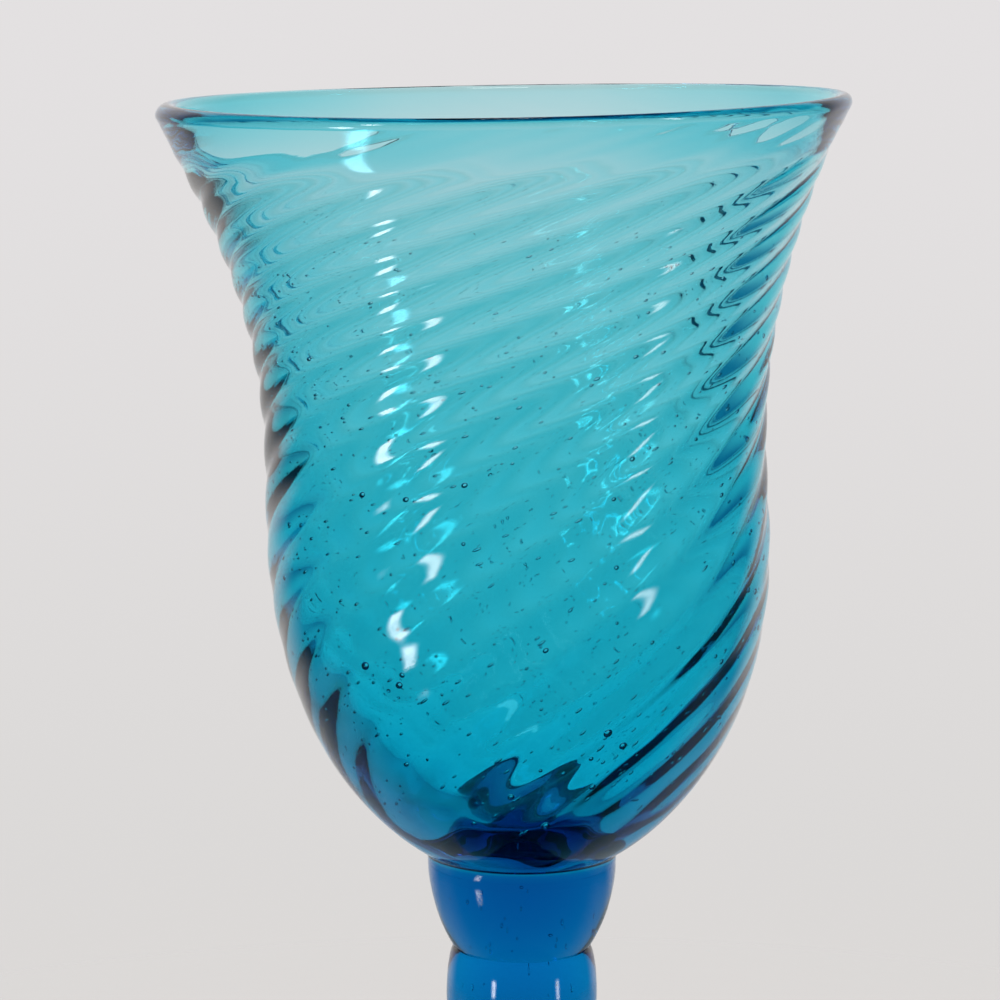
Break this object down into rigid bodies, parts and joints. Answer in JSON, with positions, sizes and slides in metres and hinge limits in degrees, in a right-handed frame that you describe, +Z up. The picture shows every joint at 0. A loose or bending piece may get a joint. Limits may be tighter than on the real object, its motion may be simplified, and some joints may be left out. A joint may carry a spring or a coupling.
{
  "type": "bubble glass goblet",
  "caption": "Hand-blown turquoise goblet: flared bowl with a thick lip and swirled optic ribs, a cup-shaped collar, a beaded stem and a spread foot.",
  "frame": {"origin": "centre of the ring that the foot rests on", "axes": "+Z up along the stem to the mouth; the goblet is round, and -Y is the side the picture shows"},
  "size_m": [0.092, 0.092, 0.1784],
  "materials": {
    "bowl_glass": "fire-polished, with small air bubbles",
    "stem_glass": "fire-polished, with small air bubbles",
    "foot_glass": "fire-polished, with small air bubbles",
    "scar_glass": "broken and lightly ground"
  },
  "bodies": {
    "root": {"bowl": "bowl_glass", "bowl_collar": "stem_glass", "stem_bead_1": "stem_glass", "stem_bead_2": "stem_glass", "stem_bead_3": "stem_glass", "stem_bead_4": "stem_glass", "foot": "foot_glass", "pontil_scar": "scar_glass"}
  },
  "joints": []
}
